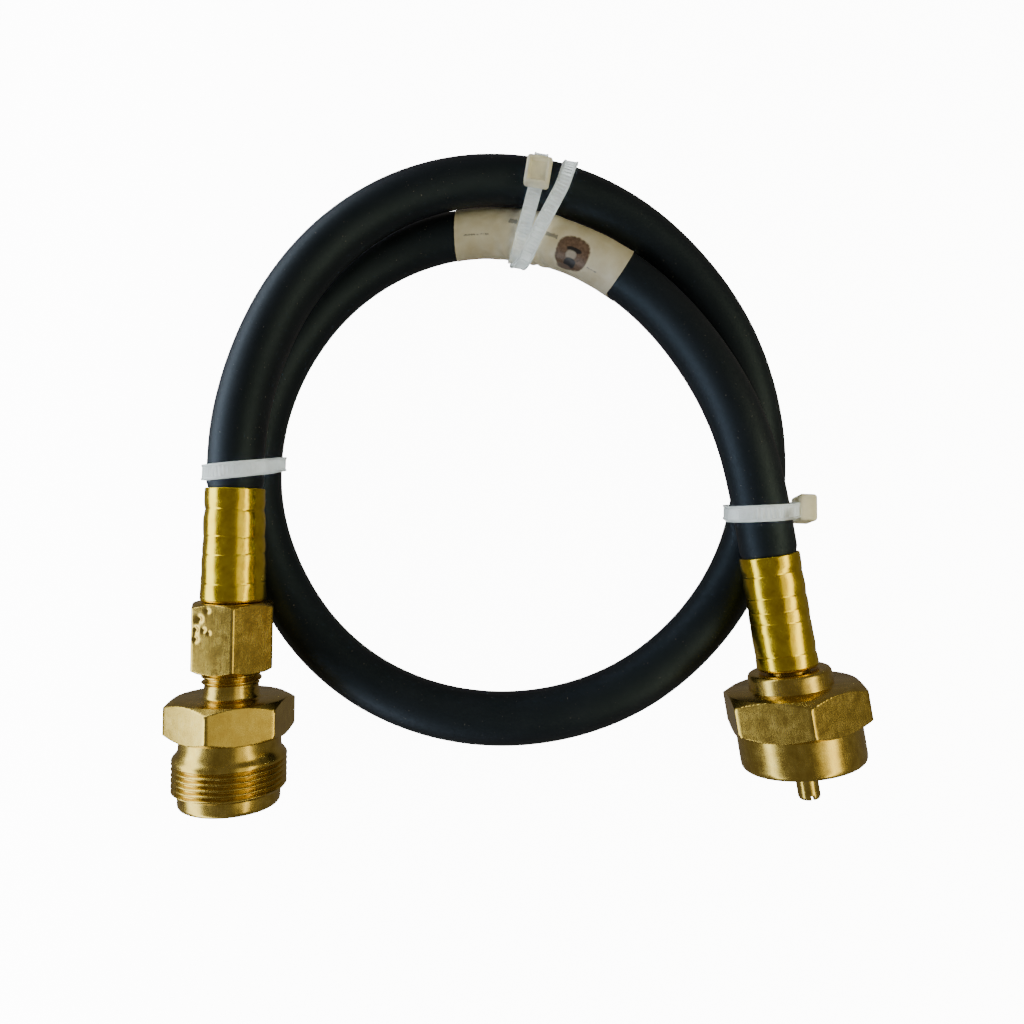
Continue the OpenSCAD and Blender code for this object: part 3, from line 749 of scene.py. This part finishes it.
def band_mesh(name, m, mids, outs, closed, skew=0.0, rake=0.0):
    """a ridged strip swept along mids, its face turned along outs, and tilted by skew and rake"""
    mids = [p + np.array([0, 0, skew * p[0] + rake * p[1]]) for p in mids]
    n = len(mids)
    points, along = [], 0.0
    for k in range(n):
        a = mids[k - 1] if (closed or k) else mids[0]
        b = mids[(k + 1) % n] if (closed or k < n - 1) else mids[-1]
        run = unit(b - a)
        side = unit(np.cross(run, outs[k]))
        top = np.cross(side, run)
        if k:
            along += np.linalg.norm(mids[k] - mids[k - 1])
        tooth = (along / TOOTH) % 1.0
        ridge = TOOTH_H * (tooth if tooth < 0.8 else (1 - tooth) * 4)
        for w, h, toothed in BAND_SECTION:
            up = (h + (ridge if toothed else 0)) * TIE_T
            points.append(mids[k] + side * w * TIE_W / 2 + top * up)
    c = len(BAND_SECTION)
    faces = grid_faces(n, c, flip=True)
    if closed:
        for k in range(c):
            j = (k + 1) % c
            faces.append(((n - 1) * c + k, k, j, (n - 1) * c + j))
    else:
        faces.append(tuple(range(c)))
        faces.append(tuple((n - 1) * c + k for k in range(c))[::-1])
    world = np.array(points) @ m[0].T + m[1]
    return make_mesh(name, world, faces, 38)


BELT_STEP = 0.15


def belt_line(circles, r):
    """closed line round equal circles given counter-clockwise, with its outward directions"""
    mids, outs = [], []
    n = len(circles)
    runs = [np.array(circles[(i + 1) % n]) - np.array(circles[i]) for i in range(n)]
    angle = [math.atan2(dy, dx) for dx, dy in runs]
    for i in range(n):
        e0 = angle[i - 1]
        sweep = (angle[i] - e0) % TAU
        count = max(4, int(sweep * r / BELT_STEP))
        for k in range(count + 1):
            g = e0 - math.pi / 2 + sweep * k / count
            o = np.array([math.cos(g), math.sin(g), 0])
            mids.append(np.array([*circles[i], 0]) + r * o)
            outs.append(o)
        a = mids[-1]
        g = angle[i] - math.pi / 2
        o = np.array([math.cos(g), math.sin(g), 0])
        b = np.array([*circles[(i + 1) % n], 0]) + r * o
        count = int(np.linalg.norm(b - a) / BELT_STEP)
        for k in range(1, count):
            mids.append(a + (b - a) * k / count)
            outs.append(o)
    return mids, outs


def tie_head(name, m, centre, g, base, skew=0.0, rake=0.0):
    """a rounded block with a slot sunk into its outer face, its base at radius base in direction g
    """
    mesh = bpy.data.meshes.new(name)
    bm = bmesh.new()
    bmesh.ops.create_cube(bm, size=1)
    for v in bm.verts:
        v.co = Vector([k * side for k, side in zip(v.co, HEAD_SIZE)])
    bmesh.ops.bevel(
        bm, geom=list(bm.edges), offset=HEAD_ROUND, segments=4, profile=0.5, affect="EDGES"
    )
    top = max(bm.faces, key=lambda f: f.calc_center_median().z)
    bmesh.ops.inset_region(bm, faces=[top], thickness=SLOT_RIM)
    bmesh.ops.translate(bm, verts=list(top.verts), vec=(0, 0, -SLOT_DEPTH))
    bm.to_mesh(mesh)
    bm.free()
    mesh.polygons.foreach_set("use_smooth", [True] * len(mesh.polygons))
    mesh.set_sharp_from_angle(angle=math.radians(40))
    o = np.array([math.cos(g), math.sin(g), 0])
    x = np.array([0, 0, 1.0])
    y = np.cross(o, x)
    place = np.eye(4)
    place[:3, :3] = m[0] @ np.stack([x, y, o], 1)
    middle = np.array([*centre, 0]) + o * (base + HEAD_SIZE[2] / 2)
    middle[2] += skew * middle[0] + rake * middle[1]
    place[:3, 3] = m[0] @ middle + m[1]
    matrix = Matrix([[float(v) for v in row] for row in place])
    mesh.transform(matrix)
    for v in mesh.vertices:
        v.co *= MM
    return scene_link(bpy.data.objects.new(name, mesh))


def joined(name, objects, materials):
    """one object from several, each keeping its material"""
    for obj, material in zip(objects, materials):
        obj.data.materials.append(material)
    bpy.ops.object.select_all(action="DESELECT")
    for obj in objects:
        obj.select_set(True)
    bpy.context.view_layer.objects.active = objects[0]
    bpy.ops.object.join()
    objects[0].name = name
    return objects[0]


def finish_tie(name, band, head, node):
    obj = joined(name, [band, head], [NYLON, HEAD_NYLON])
    settle(obj, node)
    return obj


def plain_tie(name, node, stations, beside, head_on, g, skew, rake):
    """a flat loop round two strands; beside sets how far its middle is pushed out, if at all"""
    m = tie_frame(*stations)
    circles = [in_frame(m, route(u))[:2] for u in stations]
    if beside:
        circles.append((circles[0] + circles[1]) / 2 + np.array([beside, 0]))
    mids, outs = belt_line(circles, BAND_R)
    band = band_mesh(name + "_band", m, mids, outs, True, skew, rake)
    head = tie_head(name + "_head", m, circles[head_on], math.radians(g), BAND_R + 0.1, skew, rake)
    return finish_tie(name, band, head, node)


tie_left = plain_tie("left_tie", "tie_left", LEFT_TIE, 0, 1, -12, -0.1, -0.2)
tie_right = plain_tie("right_tie", "tie_right", RIGHT_TIE, 2.4, 2, 0, -0.1, 0.17)


def belt_point(a, b, r, f):
    """the point at part f of the way round a belt on two circles, and its outward direction"""
    d = math.atan2(b[1] - a[1], b[0] - a[0])
    gap = math.hypot(b[0] - a[0], b[1] - a[1])
    half = math.pi * r
    s = (f - math.floor(f)) * 2 * (gap + half)
    out = np.array([math.cos(d - math.pi / 2), math.sin(d - math.pi / 2)])
    run = np.array([math.cos(d), math.sin(d)])
    if s < gap:
        return a + r * out + s * run, out
    if s < gap + half:
        g = d - math.pi / 2 + (s - gap) / half * math.pi
        o = np.array([math.cos(g), math.sin(g)])
        return b + r * o, o
    if s < 2 * gap + half:
        return b - r * out - (s - gap - half) * run, -out
    g = d + math.pi / 2 + (s - 2 * gap - half) / half * math.pi
    o = np.array([math.cos(g), math.sin(g)])
    return a + r * o, o


# the top tie goes twice round: how far round the belt, and how far along the strands
WRAP_T = [0, 0.36, 0.5, 0.7, 0.86, 1, 1.36, 1.5, 1.7, 1.86, 2]
WRAP_Z = [0, -2.8, -1.2, 5, 8, 6.6, -2.2, -2, -0.8, 0, 0]


# where the band starts and ends round the belt, its stations and the stations it is smoothed over
WRAP_FROM, WRAP_TO, WRAP_STATIONS, WRAP_SMOOTHING = -0.03, 1.93, 900, 25


def strand_at(m, u, z):
    """where the strand's middle near u crosses the tie's own plane at height z"""
    p, q = in_frame(m, route(u - 0.5)), in_frame(m, route(u + 0.5))
    return in_frame(m, route(u + (z - (p[2] + q[2]) / 2) / (q[2] - p[2])))[:2]


def wrapped_tie():
    m = tie_frame(*TOP_TIE)
    mids, outs = [], []
    for t in np.linspace(WRAP_FROM, WRAP_TO, WRAP_STATIONS):
        z = float(np.interp(t, WRAP_T, WRAP_Z))
        a, b = strand_at(m, TOP_TIE[0], z), strand_at(m, TOP_TIE[1], z)
        lift = 1.1 * smooth((t - 1) / 0.13) * (1 - smooth((t - 1.6) / 0.15))
        p, o = belt_point(a, b, BAND_R + 0.16, t)
        p = p + lift * o
        mids.append(np.array([p[0], p[1], z]))
        outs.append(np.array([o[0], o[1], 0]))
    mids = np.array(mids)
    kernel = np.ones(WRAP_SMOOTHING) / WRAP_SMOOTHING
    middle = np.stack([np.convolve(mids[:, k], kernel, "same") for k in range(3)], 1)
    kept = WRAP_SMOOTHING // 2 + 1
    middle[:kept], middle[-kept:] = mids[:kept], mids[-kept:]
    band = band_mesh("top_band", m, list(middle), outs, False)
    centre = in_frame(m, route(TOP_TIE[0]))[:2]
    head = tie_head("top_head", m, centre, math.radians(103), BAND_R + 0.1)
    return finish_tie("top_tie", band, head, "tie_top")


tie_top = wrapped_tie()


# ---- floor and lights ----
def backdrop():
    """a pale floor that curves up into a pale dome, in metres; only the camera sees it"""
    rings, sides = [(0.0, 0.0)], 48
    rings += [(r, 0.0) for r in (1.0, 2.0)]
    rings += [(2.0 + math.sin(a), 1.0 - math.cos(a)) for a in np.linspace(0.2, math.pi / 2, 8)]
    rings += [(3.0 * math.cos(a), 1.0 + 2.5 * math.sin(a)) for a in np.linspace(0.2, 1.5, 8)]
    turns = [TAU * k / sides for k in range(sides)]
    points = [(r * math.cos(a), r * math.sin(a), z) for r, z in rings for a in turns]
    obj = make_mesh("floor", np.array(points) / MM, grid_faces(len(rings), sides))
    obj.location.z = -0.0004
    s = Shader("floor_white")
    s.set(Base_Color=(0.93, 0.93, 0.93, 1), Roughness=0.9)
    s.bsdf.inputs["Emission Color"].default_value = (1, 1, 1, 1)
    s.bsdf.inputs["Emission Strength"].default_value = 12.0
    obj.data.materials.append(s.material)
    obj.visible_glossy = obj.visible_diffuse = obj.visible_shadow = False


backdrop()


def soft_box(name, place, aim, width, depth, power, color):
    light = bpy.data.lights.new(name, "AREA")
    light.shape = "RECTANGLE"
    light.size, light.size_y = depth, width
    light.energy = power
    light.color = color
    obj = scene_link(bpy.data.objects.new(name, light))
    obj.location = place
    toward = Vector(aim) - Vector(place)
    obj.rotation_euler = toward.to_track_quat("-Z", "Y").to_euler()
    obj.visible_camera = False
    return obj


# each strip is named, placed and aimed, then its width, depth, power and colour
DAYLIGHT, WARM = (0.9, 0.96, 1.0), (1.0, 0.9, 0.5)
soft_box("left_box", (-0.155, 0.0, 0.06), (-0.05, 0.0, 0.035), 0.062, 0.7, 0.66, DAYLIGHT)
soft_box("right_box", (0.185, -0.04, 0.148), (0.04, -0.04, 0.015), 0.05, 0.4, 0.28, WARM)
soft_box("high_box", (0.2, 0.0, 0.29), (-0.06, 0.0, 0.02), 0.12, 0.5, 0.17, WARM)

world = bpy.data.worlds.new("studio")
world.use_nodes = True
world.node_tree.nodes["Background"].inputs["Color"].default_value = (0.5, 0.46, 0.4, 1)
world.node_tree.nodes["Background"].inputs["Strength"].default_value = 0.3
bpy.context.scene.world = world
